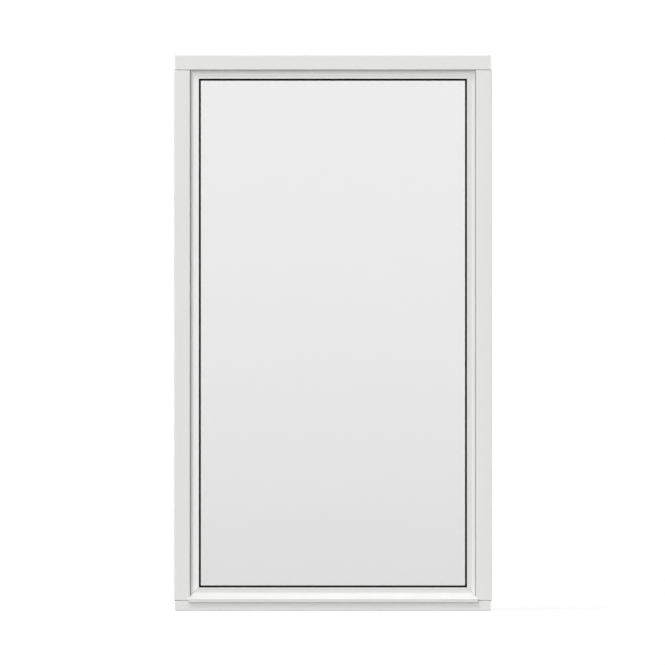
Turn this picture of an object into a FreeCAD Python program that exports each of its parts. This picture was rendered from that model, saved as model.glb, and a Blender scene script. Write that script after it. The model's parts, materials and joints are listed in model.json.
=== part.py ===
import FreeCAD, Part
import os
from math import atan2, cos, pi, radians, sin, sqrt, tan

from FreeCAD import Vector

# A fixed timber window: a painted frame of four members, a sealed triple glass unit that stands on
# setting blocks in a rebate open to the outside, and glazing beads that hold it there. The bottom bead
# is a weather bead with a drip nose. Nothing opens.
#
# Millimetres. X runs across the window, Y from the outside (-Y) to the room (+Y), Z up.
# The origin is the middle of the sill's underside.

# Overall size of the frame
FRAME_WIDTH = 800.0
FRAME_HEIGHT = 1400.0
FRAME_DEPTH = 110.0

# Faces of the frame members as seen from outside
JAMB_FACE = 39.5
HEAD_FACE = 36.5
SILL_FACE = 24.5
SILL_FALL_DEG = 8.0

# The head and the sill stop a little short of the jambs' outer sides
END_SETBACK = 2.0

# Rounding of the frame's edges: outside, along the rebate and towards the room
ARRIS_RADIUS = 2.0
REBATE_ARRIS_RADIUS = 1.0
ROOM_ARRIS_RADIUS = 3.0

# Bevel across the jambs' ends, which makes a V-groove of the joints with the head and the sill
JOINT_BEVEL_HEIGHT = 2.0
JOINT_BEVEL_DEPTH = 4.0

# Capillary groove under the front of the sill
GROOVE_SETBACK = 14.0
GROOVE_WIDTH = 6.0
GROOVE_HEIGHT = 6.0

# Glazing beads, as seen in section: a flat face beside the glass, a cove, a slope up to a narrow land,
# and a quirk that parts the land from the frame. A hairline gap parts the side beads from the bottom one
BEAD_HEIGHT = 22.5
BEAD_RECESS = 7.0
BEAD_TIP_FACE = 16.5
BEAD_TIP_RELIEF_DEG = 9.0
BEAD_TIP_THICKNESS = 9.0
BEAD_COVE_RADIUS = 6.5
BEAD_SLOPE_DEG = 31.5
BEAD_LAND = 1.1
BEAD_EDGE_RADIUS = 0.5
QUIRK_WIDTH = 2.0
QUIRK_DEPTH = 5.0
MITRE_GAP = 0.7

# Nose of the weather bead at the bottom, which laps the jambs at both ends
NOSE_PROJECTION = 7.0
NOSE_FACE_RELIEF_DEG = 6.0
NOSE_RADIUS = 2.5
NOSE_LIP_THICKNESS = 4.0
NOSE_LIP_DROP = 4.0
NOSE_LIP_RADIUS = 1.0
NOSE_LAP = 5.0
NOSE_LAP_RUN = 5.5
BEAD_END_GAP = 0.3

# Weep slots under the weather bead
WEEP_COUNT = 3
WEEP_LENGTH = 40.0
WEEP_HEIGHT = 3.0
WEEP_PITCH = 240.0

# Glass unit
PANE_THICKNESS = 4.0
CAVITY = 16.0
EDGE_CLEARANCE = 5.0
EDGE_SEAL_HEIGHT = 6.0
SPACER_HEIGHT = 7.0
SPACER_CORNER_RADIUS = 9.0

# Gaskets between the glass and the timber
OUTER_GASKET_THICKNESS = 4.0
INNER_GASKET_THICKNESS = 3.0
GASKET_HEIGHT = 14.5
GASKET_SHOW = 4.8
GASKET_LIP_THICKNESS = 1.5

# Setting blocks under the glass, and location blocks of the same length beside and above it
BLOCK_THICKNESS = 6.5
BLOCK_LENGTH = 100.0
BLOCK_FROM_EDGE = 100.0

# Fixing holes through the jambs, with a counterbore for a cover cap on the room side
FIXING_COUNT = 4
FIXING_FROM_END = 160.0
FIXING_HOLE_RADIUS = 4.0
FIXING_COUNTERBORE_RADIUS = 7.0
FIXING_COUNTERBORE_DEPTH = 12.0

# Room that a cutting shape stands proud of what it cuts
CUT_MARGIN = 40.0

# Corners of the bead's section, as distances from the rebate wall and depths behind the frame's front face
BEAD_LAND_EDGE = QUIRK_WIDTH + BEAD_LAND
BEAD_COVE_CORNER = BEAD_HEIGHT - BEAD_TIP_FACE
BEAD_SLOPE = tan(radians(BEAD_SLOPE_DEG))
BEAD_COVE_DEPTH = BEAD_RECESS + (BEAD_COVE_CORNER - BEAD_LAND_EDGE) / BEAD_SLOPE
BEAD_TIP_DEPTH = BEAD_COVE_DEPTH - BEAD_TIP_FACE * tan(radians(BEAD_TIP_RELIEF_DEG))

# Depths behind the frame's front face
BEAD_BACK = BEAD_COVE_DEPTH + BEAD_TIP_THICKNESS
GLASS_FRONT = BEAD_BACK + OUTER_GASKET_THICKNESS
PANE_PITCH = PANE_THICKNESS + CAVITY
GLASS_BACK = GLASS_FRONT + 2 * PANE_PITCH + PANE_THICKNESS
REBATE_DEPTH = GLASS_BACK + INNER_GASKET_THICKNESS
FIXING_DEPTH = (REBATE_DEPTH + FRAME_DEPTH) / 2

# The rectangle that the beads, the gaskets and the glass are set out from
FRONT = -FRAME_DEPTH / 2
LONG_MEMBER = FRAME_WIDTH - 2 * END_SETBACK
GLASS_BITE = BEAD_HEIGHT - EDGE_CLEARANCE
REBATE_HALF_WIDTH = FRAME_WIDTH / 2 - JAMB_FACE
REBATE_TOP = FRAME_HEIGHT - HEAD_FACE
GLASS_LEFT = EDGE_CLEARANCE - REBATE_HALF_WIDTH
GLASS_TOP = REBATE_TOP - EDGE_CLEARANCE


def sill_floor(depth):
    """Height of the sill's weathered rebate floor at a depth behind the frame's front face."""
    return SILL_FACE + depth * tan(radians(SILL_FALL_DEG))


GLASS_BOTTOM = sill_floor(GLASS_BACK) + BLOCK_THICKNESS
SILL_SIGHT = GLASS_BOTTOM + GLASS_BITE
REBATE_BOTTOM = SILL_SIGHT - BEAD_HEIGHT


# Outlines

def rounded_wire(corners, place):
    """A closed wire through corners (a, b) or (a, b, radius of a tangent arc), set in space by place."""
    count = len(corners)
    points = [(corner[0], corner[1]) for corner in corners]
    radii = [corner[2] if len(corner) > 2 else 0.0 for corner in corners]
    starts = []
    arcs = []
    ends = []
    for i in range(count):
        before = points[i - 1]
        here = points[i]
        after = points[(i + 1) % count]
        if radii[i] == 0.0:
            starts.append(here)
            ends.append(here)
            arcs.append(None)
            continue
        heading_in = atan2(before[1] - here[1], before[0] - here[0])
        heading_out = atan2(after[1] - here[1], after[0] - here[0])
        between = abs(heading_in - heading_out)
        between = min(between, 2 * pi - between)
        reach = radii[i] / tan(between / 2)
        to_middle = radii[i] / sin(between / 2)
        middle_x = cos(heading_in) + cos(heading_out)
        middle_y = sin(heading_in) + sin(heading_out)
        length = sqrt(middle_x ** 2 + middle_y ** 2)
        inside = (to_middle - radii[i]) / length
        starts.append((here[0] + reach * cos(heading_in), here[1] + reach * sin(heading_in)))
        ends.append((here[0] + reach * cos(heading_out), here[1] + reach * sin(heading_out)))
        arcs.append((here[0] + inside * middle_x, here[1] + inside * middle_y))
    edges = []
    for i in range(count):
        if arcs[i] is not None:
            arc = Part.Arc(place(*starts[i]), place(*arcs[i]), place(*ends[i]))
            edges.append(arc.toShape())
        line = Part.LineSegment(place(*ends[i]), place(*starts[(i + 1) % count]))
        edges.append(line.toShape())
    return Part.Wire(edges)


def bar(corners, place, run):
    """A solid bar: the outline set in space by place, extruded along run."""
    return Part.Face(rounded_wire(corners, place)).extrude(run)


def across(x):
    """Sets (depth, height) outlines on a plane square to X, for members that lie across the window."""
    return lambda depth, height: Vector(x, FRONT + depth, height)


def from_head(x):
    """Sets (depth, distance below the frame's top) outlines on a plane square to X."""
    return lambda depth, drop: Vector(x, FRONT + depth, FRAME_HEIGHT - drop)


def from_left(z):
    """Sets (depth, distance from the frame's left side) outlines on a level plane."""
    return lambda depth, inset: Vector(-FRAME_WIDTH / 2 + inset, FRONT + depth, z)


def upright(x, z):
    """Sets an elevation outline on the plane that cuts begin from, in front of the window."""
    return Vector(x, FRONT - CUT_MARGIN, z)


def elevation_prism(corners):
    """A prism with this elevation, deep enough to pass right through the window."""
    return bar(corners, upright, Vector(0, FRAME_DEPTH + 2 * CUT_MARGIN, 0))


def mirrored(shape):
    """The right-hand twin of a left-hand piece."""
    return shape.mirror(Vector(0, 0, 0), Vector(1, 0, 0))


# Frame members

def frame_section(face, rebate_end, sight):
    """Section of a frame member, (depth, distance from the member's outer side). The rebate's wall runs from
    face at the front to rebate_end at the lip, and the lip stands up to sight."""
    return [
        (0.0, 0.0, ARRIS_RADIUS),
        (0.0, face, REBATE_ARRIS_RADIUS),
        (REBATE_DEPTH, rebate_end),
        (REBATE_DEPTH, sight),
        (FRAME_DEPTH, sight, ROOM_ARRIS_RADIUS),
        (FRAME_DEPTH, 0.0, ARRIS_RADIUS),
    ]


def frame_head():
    """The head runs across both jambs."""
    section = frame_section(HEAD_FACE, HEAD_FACE, HEAD_FACE + BEAD_HEIGHT)
    return bar(section, from_head(-LONG_MEMBER / 2), Vector(LONG_MEMBER, 0, 0))


def frame_sill():
    """The sill runs under both jambs. Its rebate floor falls to the outside. A groove stops water below."""
    section = frame_section(SILL_FACE, sill_floor(REBATE_DEPTH), SILL_SIGHT)
    section += [
        (GROOVE_SETBACK + GROOVE_WIDTH, 0.0),
        (GROOVE_SETBACK + GROOVE_WIDTH, GROOVE_HEIGHT),
        (GROOVE_SETBACK, GROOVE_HEIGHT),
        (GROOVE_SETBACK, 0.0),
    ]
    return bar(section, across(-LONG_MEMBER / 2), Vector(LONG_MEMBER, 0, 0))


def fixing_heights():
    """Heights of the fixing holes, evenly spaced between the two end ones."""
    pitch = (FRAME_HEIGHT - 2 * FIXING_FROM_END) / (FIXING_COUNT - 1)
    return [FIXING_FROM_END + i * pitch for i in range(FIXING_COUNT)]


def jamb_side_outline():
    """Side elevation of a jamb, (depth, height): its ends fit the sill's section and the head's, and are
    bevelled at the outer face and at the room face."""
    head_sight = REBATE_TOP - BEAD_HEIGHT
    room_bevel = FRAME_DEPTH - JOINT_BEVEL_DEPTH
    return [
        (0.0, SILL_FACE + JOINT_BEVEL_HEIGHT),
        (JOINT_BEVEL_DEPTH, sill_floor(JOINT_BEVEL_DEPTH)),
        (REBATE_DEPTH, sill_floor(REBATE_DEPTH)),
        (REBATE_DEPTH, SILL_SIGHT),
        (room_bevel, SILL_SIGHT),
        (FRAME_DEPTH, SILL_SIGHT + JOINT_BEVEL_HEIGHT),
        (FRAME_DEPTH, head_sight - JOINT_BEVEL_HEIGHT),
        (room_bevel, head_sight),
        (REBATE_DEPTH, head_sight),
        (REBATE_DEPTH, REBATE_TOP),
        (JOINT_BEVEL_DEPTH, REBATE_TOP),
        (0.0, REBATE_TOP - JOINT_BEVEL_HEIGHT),
    ]


def frame_left_jamb():
    """The jamb stands between head and sill, with the fixing holes through its lip."""
    outer_side = -FRAME_WIDTH / 2
    sight = JAMB_FACE + BEAD_HEIGHT
    jamb = bar(frame_section(JAMB_FACE, JAMB_FACE, sight), from_left(0.0), Vector(0, 0, FRAME_HEIGHT))
    jamb = jamb.common(bar(jamb_side_outline(), across(outer_side), Vector(sight, 0, 0)))
    counterbore_floor = outer_side + sight - FIXING_COUNTERBORE_DEPTH
    along = Vector(1, 0, 0)
    for height in fixing_heights():
        hole_end = Vector(outer_side - CUT_MARGIN, FRONT + FIXING_DEPTH, height)
        bore_end = Vector(counterbore_floor, FRONT + FIXING_DEPTH, height)
        hole = Part.makeCylinder(FIXING_HOLE_RADIUS, sight + 2 * CUT_MARGIN, hole_end, along)
        bore = Part.makeCylinder(FIXING_COUNTERBORE_RADIUS, CUT_MARGIN, bore_end, along)
        jamb = jamb.cut(hole).cut(bore)
    return jamb


# Glazing ring: beads and gaskets, mitred at the corners of the rebate

def ring_quarter(side):
    """Elevation prism of one side of the glazing ring, ended by the corner mitres."""
    reach = BEAD_HEIGHT + GASKET_SHOW + CUT_MARGIN
    half = REBATE_HALF_WIDTH
    outlines = {
        "head": [
            (-half, REBATE_TOP),
            (half, REBATE_TOP),
            (half - reach, REBATE_TOP - reach),
            (-half + reach, REBATE_TOP - reach),
        ],
        "left": [
            (-half, REBATE_TOP),
            (-half + reach, REBATE_TOP - reach),
            (-half + reach, REBATE_BOTTOM + reach),
            (-half, REBATE_BOTTOM),
        ],
        "sill": [
            (-half, REBATE_BOTTOM),
            (-half + reach, REBATE_BOTTOM + reach),
            (half - reach, REBATE_BOTTOM + reach),
            (half, REBATE_BOTTOM),
        ],
    }
    return elevation_prism(outlines[side])


def weather_bead_elevation(bottom):
    """Elevation prism of the weather bead: mitred to the side beads up to their lands, level across them.
    The mitres start from the corners of the rebate at the height bottom."""
    reach = BEAD_HEIGHT + CUT_MARGIN
    half = REBATE_HALF_WIDTH
    shoulder = bottom + BEAD_LAND_EDGE
    end = half + NOSE_LAP + CUT_MARGIN
    return elevation_prism([
        (-end, -CUT_MARGIN),
        (end, -CUT_MARGIN),
        (end, shoulder),
        (half - BEAD_LAND_EDGE, shoulder),
        (half - reach, bottom + reach),
        (-half + reach, bottom + reach),
        (-half + BEAD_LAND_EDGE, shoulder),
        (-end, shoulder),
    ])


def bead_section(wall):
    """Section of a side or head bead, (depth, distance from the frame's outer side), on a rebate wall."""
    return [
        (BEAD_BACK, wall),
        (BEAD_RECESS + QUIRK_DEPTH, wall),
        (BEAD_RECESS + QUIRK_DEPTH, wall + QUIRK_WIDTH),
        (BEAD_RECESS, wall + QUIRK_WIDTH, BEAD_EDGE_RADIUS),
        (BEAD_RECESS, wall + BEAD_LAND_EDGE, BEAD_EDGE_RADIUS),
        (BEAD_COVE_DEPTH, wall + BEAD_COVE_CORNER, BEAD_COVE_RADIUS),
        (BEAD_TIP_DEPTH, wall + BEAD_HEIGHT, BEAD_EDGE_RADIUS),
        (BEAD_BACK, wall + BEAD_HEIGHT),
    ]


def head_bead():
    """The bead under the head."""
    bead = bar(bead_section(HEAD_FACE), from_head(-FRAME_WIDTH / 2), Vector(FRAME_WIDTH, 0, 0))
    return bead.common(ring_quarter("head"))


def left_bead():
    """The bead beside the left jamb, mitred to the head bead and stopped just above the weather bead."""
    bead = bar(bead_section(JAMB_FACE), from_left(0.0), Vector(0, 0, FRAME_HEIGHT))
    return bead.common(ring_quarter("left")).cut(weather_bead_elevation(REBATE_BOTTOM + MITRE_GAP))


def weather_bead_section():
    """Section of the weather bead, (depth, height): the other beads' face, carried on into a drip nose."""
    cove_corner = REBATE_BOTTOM + BEAD_COVE_CORNER
    nose_top = cove_corner - (BEAD_COVE_DEPTH + NOSE_PROJECTION) * BEAD_SLOPE
    lip_back = NOSE_LIP_THICKNESS - NOSE_PROJECTION
    lip_foot = SILL_FACE - NOSE_LIP_DROP
    lip_front = -NOSE_PROJECTION + (nose_top - lip_foot) * tan(radians(NOSE_FACE_RELIEF_DEG))
    return [
        (BEAD_BACK, SILL_SIGHT),
        (BEAD_TIP_DEPTH, SILL_SIGHT, BEAD_EDGE_RADIUS),
        (BEAD_COVE_DEPTH, cove_corner, BEAD_COVE_RADIUS),
        (-NOSE_PROJECTION, nose_top, NOSE_RADIUS),
        (lip_front, lip_foot, NOSE_LIP_RADIUS),
        (lip_back, lip_foot, NOSE_LIP_RADIUS),
        (lip_back, SILL_FACE, NOSE_LIP_RADIUS),
        (0.0, SILL_FACE),
        (BEAD_BACK, sill_floor(BEAD_BACK)),
    ]


def weather_bead_plan():
    """Plan prism of the weather bead: it fits between the jambs and laps over their faces at the nose."""
    inside = REBATE_HALF_WIDTH - BEAD_END_GAP
    lapped = REBATE_HALF_WIDTH + NOSE_LAP
    half_plan = [
        (inside, BEAD_BACK + CUT_MARGIN),
        (inside, 0.0),
        (lapped, -NOSE_LAP_RUN),
        (lapped, -NOSE_PROJECTION - CUT_MARGIN),
    ]
    other_half = [(-x, depth) for x, depth in reversed(half_plan)]
    return bar(
        half_plan + other_half,
        lambda x, depth: Vector(x, FRONT + depth, -CUT_MARGIN),
        Vector(0, 0, SILL_SIGHT + 2 * CUT_MARGIN),
    )


def weep_slot(x):
    """A slot under the weather bead that drains the rebate into the throat behind the nose's lip."""
    ahead = (NOSE_LIP_THICKNESS - NOSE_PROJECTION) / 2
    behind = BEAD_BACK + CUT_MARGIN
    section = [
        (ahead, sill_floor(ahead) - WEEP_HEIGHT),
        (ahead, sill_floor(ahead) + WEEP_HEIGHT),
        (behind, sill_floor(behind) + WEEP_HEIGHT),
        (behind, sill_floor(behind) - WEEP_HEIGHT),
    ]
    return bar(section, across(x - WEEP_LENGTH / 2), Vector(WEEP_LENGTH, 0, 0))


def weather_bead():
    """The bottom bead: it stands on the sill's weathered floor and throws water clear of the sill."""
    lapped = REBATE_HALF_WIDTH + NOSE_LAP
    bead = bar(weather_bead_section(), across(-lapped), Vector(2 * lapped, 0, 0))
    bead = bead.common(weather_bead_plan()).common(weather_bead_elevation(REBATE_BOTTOM))
    for i in range(WEEP_COUNT):
        bead = bead.cut(weep_slot((i - (WEEP_COUNT - 1) / 2) * WEEP_PITCH))
    return bead


def gasket_section(wall, timber_depth, glass_depth):
    """Section of a gasket strip, (depth, distance from the frame's outer side), from timber to glass. Its
    lip shows past the timber's edge and thins towards the glass."""
    edge = wall + BEAD_HEIGHT
    towards_timber = 1.0 if timber_depth > glass_depth else -1.0
    lip_depth = glass_depth + towards_timber * GASKET_LIP_THICKNESS
    return [
        (timber_depth, edge - GASKET_HEIGHT),
        (timber_depth, edge),
        (lip_depth, edge + GASKET_SHOW),
        (glass_depth, edge + GASKET_SHOW),
        (glass_depth, edge - GASKET_HEIGHT),
    ]


def gasket_strips(timber_depth, glass_depth):
    """The four mitred strips of one gasket ring, by side."""
    start = -FRAME_WIDTH / 2
    across_run = Vector(FRAME_WIDTH, 0, 0)
    up_run = Vector(0, 0, FRAME_HEIGHT)
    head = bar(gasket_section(HEAD_FACE, timber_depth, glass_depth), from_head(start), across_run)
    left = bar(gasket_section(JAMB_FACE, timber_depth, glass_depth), from_left(0.0), up_run)
    sill = bar(gasket_section(REBATE_BOTTOM, timber_depth, glass_depth), across(start), across_run)
    left = left.common(ring_quarter("left"))
    return {
        "head": head.common(ring_quarter("head")),
        "left": left,
        "right": mirrored(left),
        "sill": sill.common(ring_quarter("sill")),
    }


# Glass unit

def glass_slab(inset, radius, start, thickness):
    """A slab with the glass unit's outline, taken in by inset, that starts at a depth behind the face."""
    left = GLASS_LEFT + inset
    top = GLASS_TOP - inset
    bottom = GLASS_BOTTOM + inset
    outline = [
        (left, bottom, radius),
        (-left, bottom, radius),
        (-left, top, radius),
        (left, top, radius),
    ]
    return bar(outline, lambda x, z: Vector(x, FRONT + start, z), Vector(0, thickness, 0))


def pane(index):
    """One of the unit's panes, counted from the outside."""
    return glass_slab(0.0, 0.0, GLASS_FRONT + index * PANE_PITCH, PANE_THICKNESS)


def cavity_start(index):
    """Depth at which a cavity begins, counted from the outside."""
    return GLASS_FRONT + PANE_THICKNESS + index * PANE_PITCH


def spacer(index):
    """The bent spacer bar that holds two panes apart."""
    outer = glass_slab(EDGE_SEAL_HEIGHT, SPACER_CORNER_RADIUS, cavity_start(index), CAVITY)
    inner_radius = SPACER_CORNER_RADIUS - SPACER_HEIGHT
    inner = glass_slab(EDGE_SEAL_HEIGHT + SPACER_HEIGHT, inner_radius, cavity_start(index), CAVITY)
    return outer.cut(inner)


def edge_seal(index):
    """The sealant outside a spacer bar, flush with the panes' edges."""
    whole = glass_slab(0.0, 0.0, cavity_start(index), CAVITY)
    return whole.cut(glass_slab(EDGE_SEAL_HEIGHT, SPACER_CORNER_RADIUS, cavity_start(index), CAVITY))


def left_setting_block():
    """A wedge that carries the glass unit level on the sloping rebate floor."""
    section = [
        (GLASS_FRONT, sill_floor(GLASS_FRONT)),
        (GLASS_FRONT, GLASS_BOTTOM),
        (GLASS_BACK, GLASS_BOTTOM),
        (GLASS_BACK, sill_floor(GLASS_BACK)),
    ]
    return bar(section, across(GLASS_LEFT + BLOCK_FROM_EDGE), Vector(BLOCK_LENGTH, 0, 0))


def left_location_blocks():
    """Blocks that keep the glass unit clear of the left jamb and of the head's left half, by name."""
    depth = GLASS_BACK - GLASS_FRONT
    front = FRONT + GLASS_FRONT
    lower = Vector(-REBATE_HALF_WIDTH, front, GLASS_BOTTOM + BLOCK_FROM_EDGE)
    upper = Vector(-REBATE_HALF_WIDTH, front, GLASS_TOP - BLOCK_FROM_EDGE - BLOCK_LENGTH)
    head = Vector(GLASS_LEFT + BLOCK_FROM_EDGE, front, GLASS_TOP)
    return {
        "lower": Part.makeBox(EDGE_CLEARANCE, depth, BLOCK_LENGTH, lower),
        "upper": Part.makeBox(EDGE_CLEARANCE, depth, BLOCK_LENGTH, upper),
        "head": Part.makeBox(BLOCK_LENGTH, depth, EDGE_CLEARANCE, head),
    }


def build():
    """Every piece of the window by its node's name."""
    left_jamb = frame_left_jamb()
    side_bead = left_bead()
    setting_block = left_setting_block()
    pieces = {
        "frame_head": frame_head(),
        "frame_sill": frame_sill(),
        "frame_left_jamb": left_jamb,
        "frame_right_jamb": mirrored(left_jamb),
        "head_bead": head_bead(),
        "left_bead": side_bead,
        "right_bead": mirrored(side_bead),
        "weather_bead": weather_bead(),
        "left_setting_block": setting_block,
        "right_setting_block": mirrored(setting_block),
    }
    for place, block in left_location_blocks().items():
        pieces["left_" + place + "_location_block"] = block
        pieces["right_" + place + "_location_block"] = mirrored(block)
    for index, name in enumerate(("outer", "middle", "inner")):
        pieces[name + "_pane"] = pane(index)
    for index, name in enumerate(("outer", "inner")):
        pieces[name + "_spacer"] = spacer(index)
        pieces[name + "_edge_seal"] = edge_seal(index)
    for side, strip in gasket_strips(BEAD_BACK, GLASS_FRONT).items():
        pieces[side + "_outer_gasket"] = strip
    for side, strip in gasket_strips(REBATE_DEPTH, GLASS_BACK).items():
        pieces[side + "_inner_gasket"] = strip
    return pieces


def main():
    os.makedirs("parts", exist_ok=True)
    for name, shape in build().items():
        shape.exportStep(os.path.join("parts", name + ".step"))


main()
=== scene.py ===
"""Dresses the fixed window: white paint on the timber, black gaskets, clear glass, and a white studio."""

import json
import math

import bpy
from bpy.props import FloatProperty, FloatVectorProperty, PointerProperty
from bpy.types import Operator, Panel, PropertyGroup
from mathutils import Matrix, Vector


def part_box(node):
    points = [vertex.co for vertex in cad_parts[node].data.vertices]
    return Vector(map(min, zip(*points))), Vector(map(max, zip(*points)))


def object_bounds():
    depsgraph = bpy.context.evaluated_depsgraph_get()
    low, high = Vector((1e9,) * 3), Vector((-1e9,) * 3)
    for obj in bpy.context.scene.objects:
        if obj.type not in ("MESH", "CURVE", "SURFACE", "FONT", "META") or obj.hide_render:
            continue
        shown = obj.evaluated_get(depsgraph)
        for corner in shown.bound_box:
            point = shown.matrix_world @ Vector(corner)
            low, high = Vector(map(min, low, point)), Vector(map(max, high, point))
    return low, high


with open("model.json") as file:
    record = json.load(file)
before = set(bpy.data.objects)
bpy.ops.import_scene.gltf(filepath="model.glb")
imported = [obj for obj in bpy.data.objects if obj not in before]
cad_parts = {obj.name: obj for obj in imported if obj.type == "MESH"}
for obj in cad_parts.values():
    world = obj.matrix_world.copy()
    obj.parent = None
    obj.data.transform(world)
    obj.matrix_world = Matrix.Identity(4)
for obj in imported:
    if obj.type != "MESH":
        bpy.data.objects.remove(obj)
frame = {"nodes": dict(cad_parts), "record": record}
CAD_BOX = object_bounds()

bl_info = {
    "name": "Fixed window looks",
    "version": (1, 0, 0),
    "blender": (4, 5, 0),
    "location": "View3D > Sidebar > Window",
    "description": "Finishes the pieces of a fixed timber window and sets up the studio around it",
    "category": "Object",
}

NODES = frame["nodes"]
SLOT_COLOURS = {slot["slot"]: slot["base_color"][:3] for slot in frame["record"]["materials"]}

# Members that lie across the window have their grain along X, upright ones along Z
ALONG_X, ALONG_Z = 0, 2
SIDES = ("head", "left", "right", "sill")
FRAME_GRAIN = {
    "frame_head": ALONG_X,
    "frame_sill": ALONG_X,
    "frame_left_jamb": ALONG_Z,
    "frame_right_jamb": ALONG_Z,
}
BEAD_GRAIN = {
    "head_bead": ALONG_X,
    "weather_bead": ALONG_X,
    "left_bead": ALONG_Z,
    "right_bead": ALONG_Z,
}

# The lights, by the first word of their settings
LIGHTS = ("key", "fill")

# Sockets of a Mix node that mixes colours: its sockets for numbers have the same names
MIX_FIRST, MIX_SECOND, MIX_RESULT = 6, 7, 2

# Share of the light that a pane mirrors when it is looked at square on, and how that grows at a slant
GLASS_MIRROR = 0.04
GLASS_MIRROR_POWER = 5.0

# The card's place in front of the window and its size, in metres
CARD_DISTANCE = 3.0
CARD_SIZE = 18.0

# Where a light is drawn, in metres from the origin. It shines as if from far off
LIGHT_DISTANCE = 4.0

# How far the floor runs forward and how far the camera sees, in camera distances
FLOOR_REACH = 2.0
CAMERA_SIGHT = 10.0

# How the photograph frames the window, in pixels
PHOTO_SIZE = 665.0
PHOTO_FRAME_WIDTH = 317.4
PHOTO_FRAME_CENTRE = (332.94, 332.94)


# Settings

class WindowFinish(PropertyGroup):
    """Colours and finishes of the window's materials."""

    paint: FloatVectorProperty(
        name="Paint",
        description="Colour of the paint on the frame and the beads",
        subtype="COLOR",
        min=0.0,
        max=1.0,
        default=SLOT_COLOURS["white_paint"],
    )
    paint_roughness: FloatProperty(
        name="Paint roughness",
        description="How dull the satin paint is",
        subtype="FACTOR",
        min=0.0,
        max=1.0,
        default=0.42,
    )
    grain_depth: FloatProperty(
        name="Grain depth",
        description="How far the timber's grain shows through the paint as relief",
        unit="LENGTH",
        min=0.0,
        max=0.001,
        default=0.00005,
    )
    rubber: FloatVectorProperty(
        name="Gasket rubber",
        description="Colour of the gaskets",
        subtype="COLOR",
        min=0.0,
        max=1.0,
        default=SLOT_COLOURS["gasket_rubber"],
    )
    glass_tint: FloatVectorProperty(
        name="Glass tint",
        description="Share of the light that passes each face of a pane",
        subtype="COLOR",
        min=0.0,
        max=1.0,
        default=(0.9640, 0.9646, 0.9642),
    )
    spacer: FloatVectorProperty(
        name="Spacer bar",
        description="Colour of the bars between the panes",
        subtype="COLOR",
        min=0.0,
        max=1.0,
        default=SLOT_COLOURS["spacer_bar"],
    )
    sealant: FloatVectorProperty(
        name="Edge sealant",
        description="Colour of the sealant around the glass unit",
        subtype="COLOR",
        min=0.0,
        max=1.0,
        default=SLOT_COLOURS["edge_sealant"],
    )
    block: FloatVectorProperty(
        name="Setting block",
        description="Colour of the plastic blocks around the glass unit",
        subtype="COLOR",
        min=0.0,
        max=1.0,
        default=SLOT_COLOURS["setting_block"],
    )


class WindowStudio(PropertyGroup):
    """The light, the floor and the camera around the window."""

    camera_distance: FloatProperty(
        name="Camera distance",
        description="From the camera to the frame's outer face: far off, so that there is no perspective",
        unit="LENGTH",
        min=1.0,
        max=75.0,
        default=60.0,
    )
    key_level: FloatProperty(
        name="Key level",
        description="Light of the key on a white surface turned square to it, where 1 renders as white",
        min=0.0,
        max=3.0,
        default=0.42,
    )
    key_elevation: FloatProperty(
        name="Key elevation",
        description="Height of the key light above the horizon",
        unit="ROTATION",
        min=0.0,
        max=math.radians(90.0),
        default=math.radians(60.0),
    )
    key_turn: FloatProperty(
        name="Key turn",
        description="How far to the left of the camera the key light stands",
        unit="ROTATION",
        min=-math.radians(90.0),
        max=math.radians(90.0),
        default=math.radians(36.0),
    )
    key_spread: FloatProperty(
        name="Key spread",
        description="How wide the key light looks from the window: wider gives softer shadows",
        unit="ROTATION",
        min=0.0,
        max=math.radians(90.0),
        default=math.radians(12.0),
    )
    fill_level: FloatProperty(
        name="Fill level",
        description="Light of the fill on a white surface turned square to it, where 1 renders as white",
        min=0.0,
        max=3.0,
        default=0.425,
    )
    fill_elevation: FloatProperty(
        name="Fill elevation",
        description="Height of the fill light above the horizon",
        unit="ROTATION",
        min=0.0,
        max=math.radians(90.0),
        default=math.radians(12.0),
    )
    fill_turn: FloatProperty(
        name="Fill turn",
        description="How far to the left of the camera the fill light stands",
        unit="ROTATION",
        min=-math.radians(90.0),
        max=math.radians(90.0),
        default=math.radians(20.0),
    )
    fill_spread: FloatProperty(
        name="Fill spread",
        description="How wide the fill light looks from the window",
        unit="ROTATION",
        min=0.0,
        max=math.radians(90.0),
        default=math.radians(24.0),
    )
    sky_level: FloatProperty(
        name="Sky level",
        description="Even light from all round, where 1 renders white as white",
        min=0.0,
        max=2.0,
        default=0.40,
    )
    back_level: FloatProperty(
        name="Back level",
        description="What the sky gives on top of that where it is strongest, behind the window",
        min=0.0,
        max=2.0,
        default=0.85,
    )
    back_turn: FloatProperty(
        name="Back turn",
        description="How far to the right of straight behind the window the sky is strongest",
        unit="ROTATION",
        min=-math.radians(90.0),
        max=math.radians(90.0),
        default=math.radians(45.0),
    )
    floor_colour: FloatProperty(
        name="Floor colour",
        description="Grey of the floor as it throws light back on the window",
        subtype="FACTOR",
        min=0.0,
        max=1.0,
        default=0.27,
    )
    floor_behind: FloatProperty(
        name="Floor behind",
        description="How far the floor runs on behind the window, so little that the sill hides its edge",
        unit="LENGTH",
        min=0.0,
        max=60.0,
        default=2.5,
    )
    card_top: FloatProperty(
        name="Card top",
        description="Level of the card that the glass mirrors, at the height of the head",
        min=0.0,
        max=2.0,
        default=1.385,
    )
    card_foot: FloatProperty(
        name="Card foot",
        description="Level of the same card at the height of the sill",
        min=0.0,
        max=2.0,
        default=0.60,
    )
    card_fall: FloatProperty(
        name="Card fall",
        description="How late the card darkens on the way down, where 1 is evenly",
        min=0.1,
        max=5.0,
        default=1.65,
    )


# Shader nodes

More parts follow.
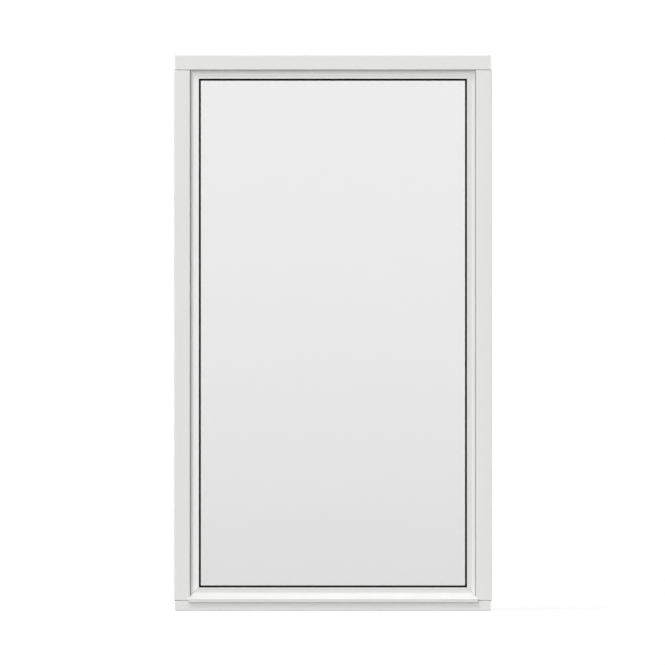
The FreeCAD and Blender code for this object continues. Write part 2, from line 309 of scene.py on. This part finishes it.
class Shade:
    """One socket in a tree of shader nodes. Sums, differences, products and powers of it add Math nodes."""

    def __init__(self, tree, socket=None):
        self.tree = tree
        self.socket = socket

    def make(self, kind, settings=None, inputs=None, output=0):
        """Adds a node: first its settings, then its sockets' values or links. Gives one of its outputs."""
        node = self.tree.nodes.new(kind)
        for name, value in (settings or {}).items():
            setattr(node, name, value)
        for name, value in (inputs or {}).items():
            if isinstance(value, Shade):
                self.tree.links.new(value.socket, node.inputs[name])
            else:
                node.inputs[name].default_value = value
        return Shade(self.tree, node.outputs[output])

    def maths(self, operation, first, second):
        return self.make("ShaderNodeMath", {"operation": operation}, {0: first, 1: second})

    def __add__(self, other):
        return self.maths("ADD", self, other)

    def __radd__(self, other):
        return self.maths("ADD", other, self)

    def __sub__(self, other):
        return self.maths("SUBTRACT", self, other)

    def __rsub__(self, other):
        return self.maths("SUBTRACT", other, self)

    def __mul__(self, other):
        return self.maths("MULTIPLY", self, other)

    def __rmul__(self, other):
        return self.maths("MULTIPLY", other, self)

    def __pow__(self, other):
        return self.maths("POWER", self, other)

    def larger(self, other):
        return self.maths("MAXIMUM", self, other)


def new_shader(owner):
    """An empty node tree on a material or world, as a place to add nodes from."""
    owner.use_nodes = True
    owner.node_tree.nodes.clear()
    return Shade(owner.node_tree)


def new_material(name):
    """A new material and the start of its node tree."""
    material = bpy.data.materials.new(name)
    return material, new_shader(material)


def show(shader, output="ShaderNodeOutputMaterial"):
    """Links a finished shader to an output of its own."""
    node = shader.tree.nodes.new(output)
    shader.tree.links.new(shader.socket, node.inputs["Surface"])


def own_place(start):
    """A piece's own coordinates, in metres."""
    return start.make("ShaderNodeTexCoord", output="Object")


def opaque(colour):
    """A colour as a colour socket takes it."""
    return (*colour, 1.0)


def scaled(colour, factor):
    """A colour made lighter or darker."""
    return [min(1.0, channel * factor) for channel in colour]


def mixed_colour(factor, first, second):
    """One colour running into another."""
    return factor.make(
        "ShaderNodeMix",
        {"data_type": "RGBA"},
        {"Factor": factor, MIX_FIRST: opaque(first), MIX_SECOND: opaque(second)},
        output=MIX_RESULT,
    )


def noise(place, cells=1.0, detail=2.0, roughness=0.5):
    """Cloudy noise, about 0.5 in the middle, at a number of cells to the metre."""
    return place.make(
        "ShaderNodeTexNoise",
        inputs={"Vector": place, "Scale": cells, "Detail": detail, "Roughness": roughness},
    )


def stretched(place, axis, along, across):
    """Coordinates for a pattern drawn out along one axis, in cells to the metre."""
    cells = [across, across, across]
    cells[axis] = along
    return place.make("ShaderNodeMapping", inputs={"Vector": place, "Scale": cells})


def relief(height, depth):
    """A normal with this height as fine relief."""
    return height.make("ShaderNodeBump", inputs={"Height": height, "Distance": depth, "Strength": 1.0})


# Materials

def white_paint(name, axis):
    """Satin paint, brushed along the timber, with the grain faintly raised under it."""
    finish = bpy.context.scene.window_finish
    material, start = new_material(name)
    place = own_place(start)
    tone = noise(place, cells=6.0, detail=3.0)
    grain = noise(stretched(place, axis, along=6.0, across=260.0), detail=4.0, roughness=0.62)
    brush = noise(stretched(place, axis, along=25.0, across=1400.0))
    peel = noise(place, cells=700.0, detail=1.0)
    height = 0.55 * grain + 0.25 * brush + 0.2 * peel
    colour = mixed_colour(0.6 * tone + 0.4 * grain, scaled(finish.paint, 0.975), scaled(finish.paint, 1.025))
    show(start.make("ShaderNodeBsdfPrincipled", inputs={
        "Base Color": colour,
        "Roughness": finish.paint_roughness + 0.14 * (brush - 0.5),
        "Normal": relief(height, finish.grain_depth),
        "IOR": 1.48,
    }))
    return material


def gasket_rubber():
    """Matt black rubber with a fine extruded skin."""
    finish = bpy.context.scene.window_finish
    material, start = new_material("gasket_rubber")
    place = own_place(start)
    bloom = noise(place, cells=40.0, detail=3.0)
    skin = noise(place, cells=2500.0)
    show(start.make("ShaderNodeBsdfPrincipled", inputs={
        "Base Color": mixed_colour(bloom, scaled(finish.rubber, 0.15), scaled(finish.rubber, 0.45)),
        "Roughness": 0.5 + 0.25 * bloom,
        "Specular IOR Level": 0.06,
        "Normal": relief(skin, 0.00003),
    }))
    return material


def clear_glass():
    """Float glass that mirrors more at a slant and lets the rest of the light straight through."""
    finish = bpy.context.scene.window_finish
    material, start = new_material("clear_glass")
    place = own_place(start)
    facing = start.make("ShaderNodeLayerWeight", inputs={"Blend": 0.5}, output="Facing")
    film = noise(place, cells=2.0)
    fresnel = GLASS_MIRROR + (1.0 - GLASS_MIRROR) * facing ** GLASS_MIRROR_POWER
    mirrored = fresnel + 0.004 * (film - 0.5)
    through = start.make("ShaderNodeBsdfTransparent", inputs={"Color": opaque(finish.glass_tint)})
    mirror = start.make("ShaderNodeBsdfGlossy", inputs={"Color": (1.0, 1.0, 1.0, 1.0), "Roughness": 0.0})
    show(start.make("ShaderNodeMixShader", inputs={0: mirrored, 1: through, 2: mirror}))
    return material


def spacer_bar():
    """Dark satin bar with a fine skin."""
    finish = bpy.context.scene.window_finish
    material, start = new_material("spacer_bar")
    place = own_place(start)
    cloud = noise(place, cells=60.0)
    skin = noise(place, cells=1800.0, detail=1.0)
    show(start.make("ShaderNodeBsdfPrincipled", inputs={
        "Base Color": mixed_colour(cloud, scaled(finish.spacer, 0.85), scaled(finish.spacer, 1.15)),
        "Roughness": 0.4 + 0.2 * cloud,
        "Normal": relief(skin, 0.00004),
    }))
    return material


def edge_sealant():
    """Black sealant, tooled by hand and a little wavy."""
    finish = bpy.context.scene.window_finish
    material, start = new_material("edge_sealant")
    place = own_place(start)
    waves = noise(place, cells=90.0)
    show(start.make("ShaderNodeBsdfPrincipled", inputs={
        "Base Color": mixed_colour(waves, scaled(finish.sealant, 0.7), scaled(finish.sealant, 1.3)),
        "Roughness": 0.35 + 0.3 * waves,
        "Normal": relief(waves, 0.0004),
    }))
    return material


def setting_block():
    """Moulded plastic with a spark-eroded grain."""
    finish = bpy.context.scene.window_finish
    material, start = new_material("setting_block")
    place = own_place(start)
    cloud = noise(place, cells=30.0)
    spark = noise(place, cells=1200.0)
    show(start.make("ShaderNodeBsdfPrincipled", inputs={
        "Base Color": mixed_colour(cloud, scaled(finish.block, 0.9), scaled(finish.block, 1.1)),
        "Roughness": 0.45 + 0.15 * spark,
        "Normal": relief(spark, 0.00006),
    }))
    return material


def dress(name, material):
    """Gives a CAD node its finished material."""
    for slot in NODES[name].material_slots:
        slot.material = material


def paint_members(prefix, grain):
    """Paints members, each brushed along its grain."""
    paints = {axis: white_paint(prefix + "xyz"[axis], axis) for axis in (ALONG_X, ALONG_Z)}
    for name, axis in grain.items():
        dress(name, paints[axis])


# Operators

class WINDOW_OT_paint_frame(Operator):
    """Paint the head, the jambs and the sill"""

    bl_idname = "window_looks.paint_frame"
    bl_label = "Paint the frame"

    def execute(self, context):
        paint_members("frame_paint_", FRAME_GRAIN)
        return {"FINISHED"}


class WINDOW_OT_paint_beads(Operator):
    """Paint the glazing beads and the weather bead"""

    bl_idname = "window_looks.paint_beads"
    bl_label = "Paint the beads"

    def execute(self, context):
        paint_members("bead_paint_", BEAD_GRAIN)
        return {"FINISHED"}


class WINDOW_OT_finish_gaskets(Operator):
    """Give the gaskets their black rubber"""

    bl_idname = "window_looks.finish_gaskets"
    bl_label = "Finish the gaskets"

    def execute(self, context):
        rubber = gasket_rubber()
        for side in SIDES:
            dress(side + "_outer_gasket", rubber)
            dress(side + "_inner_gasket", rubber)
        return {"FINISHED"}


class WINDOW_OT_finish_glass_unit(Operator):
    """Give the panes clear glass, and the bars and the sealant between them their finishes"""

    bl_idname = "window_looks.finish_glass_unit"
    bl_label = "Finish the glass unit"

    def execute(self, context):
        glass = clear_glass()
        bar = spacer_bar()
        sealant = edge_sealant()
        for layer in ("outer", "middle", "inner"):
            dress(layer + "_pane", glass)
        for cavity in ("outer", "inner"):
            dress(cavity + "_spacer", bar)
            dress(cavity + "_edge_seal", sealant)
        return {"FINISHED"}


class WINDOW_OT_finish_blocks(Operator):
    """Give the setting blocks and the location blocks their plastic"""

    bl_idname = "window_looks.finish_blocks"
    bl_label = "Finish the glazing blocks"

    def execute(self, context):
        plastic = setting_block()
        for side in ("left", "right"):
            dress(side + "_setting_block", plastic)
            for place in ("lower", "upper", "head"):
                dress(side + "_" + place + "_location_block", plastic)
        return {"FINISHED"}


def seen_rays(start):
    """1 for rays that show a surface: from the camera, mirrored, or passed through glass."""
    camera = start.make("ShaderNodeLightPath", output="Is Camera Ray")
    mirrored = start.make("ShaderNodeLightPath", output="Is Glossy Ray")
    passed = start.make("ShaderNodeLightPath", output="Is Transmission Ray")
    return camera.larger(mirrored).larger(passed)


def light_settings(studio, light):
    """Level, elevation, turn and spread of one light."""
    return [getattr(studio, light + "_" + name) for name in ("level", "elevation", "turn", "spread")]


def white_floor_material(studio):
    """A floor that renders white where the light falls on it and keeps the window's shadow."""
    material, start = new_material("studio_floor")
    light_on_floor = studio.sky_level
    for light in LIGHTS:
        level, elevation = light_settings(studio, light)[:2]
        light_on_floor += level * math.sin(elevation)
    glow = 1.0 - studio.floor_colour * light_on_floor
    matt = start.make("ShaderNodeBsdfDiffuse", inputs={"Color": opaque([studio.floor_colour] * 3)})
    white = start.make("ShaderNodeEmission", inputs={"Strength": glow * seen_rays(start)})
    show(start.make("ShaderNodeAddShader", inputs={0: matt, 1: white}))
    return material


def graded_card_material(studio, foot, top):
    """A card that is paler towards its top, as the glass mirrors it."""
    material, start = new_material("studio_card")
    place = own_place(start)
    height = start.make("ShaderNodeSeparateXYZ", inputs={"Vector": place}, output="Z")
    drop = start.make("ShaderNodeMapRange", inputs={"Value": height, "From Min": top, "From Max": foot})
    level = studio.card_top - (studio.card_top - studio.card_foot) * drop ** studio.card_fall
    show(start.make("ShaderNodeEmission", inputs={"Color": level}))
    return material


def deselect():
    """Leaves nothing selected, so that the next operator acts on its own object alone."""
    bpy.ops.object.select_all(action="DESELECT")


def add_floor(studio):
    """The floor that the window stands on, wide and deep in front and short behind."""
    reach = FLOOR_REACH * studio.camera_distance
    deselect()
    bpy.ops.mesh.primitive_plane_add(
        size=1.0,
        location=(0.0, (studio.floor_behind - reach) / 2.0, CAD_BOX[0].z),
    )
    floor = bpy.context.object
    floor.name = "studio_floor"
    floor.scale = (2.0 * reach, reach + studio.floor_behind, 1.0)
    bpy.ops.object.transform_apply(location=False, rotation=False, scale=True)
    floor.data.materials.append(white_floor_material(studio))


def add_card(studio):
    """A graded card in front of the window that shows only as a mirror image in the glass."""
    foot, top = CAD_BOX[0].z, CAD_BOX[1].z
    deselect()
    bpy.ops.mesh.primitive_plane_add(
        size=CARD_SIZE,
        location=(0.0, -CARD_DISTANCE, top),
        rotation=(math.radians(90.0), 0.0, 0.0),
    )
    bpy.ops.object.transform_apply(location=True, rotation=True, scale=True)
    card = bpy.context.object
    card.name = "studio_card"
    card.data.materials.append(graded_card_material(studio, foot, top))
    card.visible_camera = False
    card.visible_diffuse = False
    card.visible_transmission = False
    card.visible_shadow = False


def add_light(name, level, elevation, turn, spread):
    """One far light, at a height above the horizon and turned to the left of the camera."""
    low = math.cos(elevation)
    towards = Vector((-low * math.sin(turn), -low * math.cos(turn), math.sin(elevation)))
    deselect()
    bpy.ops.object.light_add(type="SUN", location=towards * LIGHT_DISTANCE)
    light = bpy.context.object
    light.name = name
    light.rotation_euler = towards.to_track_quat("Z", "Y").to_euler()
    light.data.energy = level * math.pi
    light.data.angle = spread


def add_lights(studio):
    """A soft key light from the upper left and a fill from low on the same side."""
    for light in LIGHTS:
        add_light(light + "_light", *light_settings(studio, light))


def add_sky(studio):
    """Light from all round, stronger from the back and right, that is plain white to the camera and in
    the glass."""
    world = bpy.data.worlds.new("studio_sky")
    bpy.context.scene.world = world
    start = new_shader(world)
    towards = start.make("ShaderNodeTexCoord", output="Generated")
    strongest = (math.sin(studio.back_turn), math.cos(studio.back_turn), 0.0)
    behind = start.make(
        "ShaderNodeVectorMath",
        {"operation": "DOT_PRODUCT"},
        {0: towards, 1: strongest},
        output="Value",
    )
    unseen = studio.sky_level + studio.back_level * behind.larger(0.0)
    level = unseen + (1.0 - unseen) * seen_rays(start)
    sky = start.make("ShaderNodeBackground", inputs={"Color": (1.0, 1.0, 1.0, 1.0), "Strength": level})
    show(sky, "ShaderNodeOutputWorld")


def add_camera(studio):
    """The camera square to the window, framed as the photograph is."""
    low, high = CAD_BOX
    metres_per_pixel = (high.x - low.x) / PHOTO_FRAME_WIDTH
    middle = (low + high) / 2.0
    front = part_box("frame_head")[0].y
    right_of_middle = (PHOTO_FRAME_CENTRE[0] - PHOTO_SIZE / 2.0) * metres_per_pixel
    below_middle = (PHOTO_FRAME_CENTRE[1] - PHOTO_SIZE / 2.0) * metres_per_pixel
    deselect()
    bpy.ops.object.camera_add(
        location=(middle.x - right_of_middle, front - studio.camera_distance, middle.z + below_middle),
        rotation=(math.radians(90.0), 0.0, 0.0),
    )
    camera = bpy.context.object
    camera.name = "photo_camera"
    field = PHOTO_SIZE * metres_per_pixel
    camera.data.lens = camera.data.sensor_width * studio.camera_distance / field
    camera.data.clip_end = CAMERA_SIGHT * studio.camera_distance
    bpy.context.scene.camera = camera


class WINDOW_OT_set_studio(Operator):
    """Set up the floor, the lights, the sky and the camera"""

    bl_idname = "window_looks.set_studio"
    bl_label = "Set up the studio"

    def execute(self, context):
        studio = context.scene.window_studio
        add_floor(studio)
        add_card(studio)
        add_lights(studio)
        add_sky(studio)
        add_camera(studio)
        context.scene.view_settings.view_transform = "Standard"
        return {"FINISHED"}


class WINDOW_PT_looks(Panel):
    """The window's finishes and studio"""

    bl_label = "Fixed window"
    bl_idname = "WINDOW_PT_looks"
    bl_space_type = "VIEW_3D"
    bl_region_type = "UI"
    bl_category = "Window"

    def draw(self, context):
        for settings in (context.scene.window_finish, context.scene.window_studio):
            box = self.layout.box()
            for name in settings.__annotations__:
                box.prop(settings, name)
        for operator in OPERATORS:
            self.layout.operator(operator.bl_idname)


OPERATORS = (
    WINDOW_OT_paint_frame,
    WINDOW_OT_paint_beads,
    WINDOW_OT_finish_gaskets,
    WINDOW_OT_finish_glass_unit,
    WINDOW_OT_finish_blocks,
    WINDOW_OT_set_studio,
)
CLASSES = (WindowFinish, WindowStudio, *OPERATORS, WINDOW_PT_looks)


def register():
    for cls in CLASSES:
        bpy.utils.register_class(cls)
    bpy.types.Scene.window_finish = PointerProperty(type=WindowFinish)
    bpy.types.Scene.window_studio = PointerProperty(type=WindowStudio)


def unregister():
    del bpy.types.Scene.window_studio
    del bpy.types.Scene.window_finish
    for cls in reversed(CLASSES):
        bpy.utils.unregister_class(cls)


def main():
    register()
    bpy.ops.window_looks.paint_frame()
    bpy.ops.window_looks.paint_beads()
    bpy.ops.window_looks.finish_gaskets()
    bpy.ops.window_looks.finish_glass_unit()
    bpy.ops.window_looks.finish_blocks()
    bpy.ops.window_looks.set_studio()


if __name__ == "__main__":
    main()
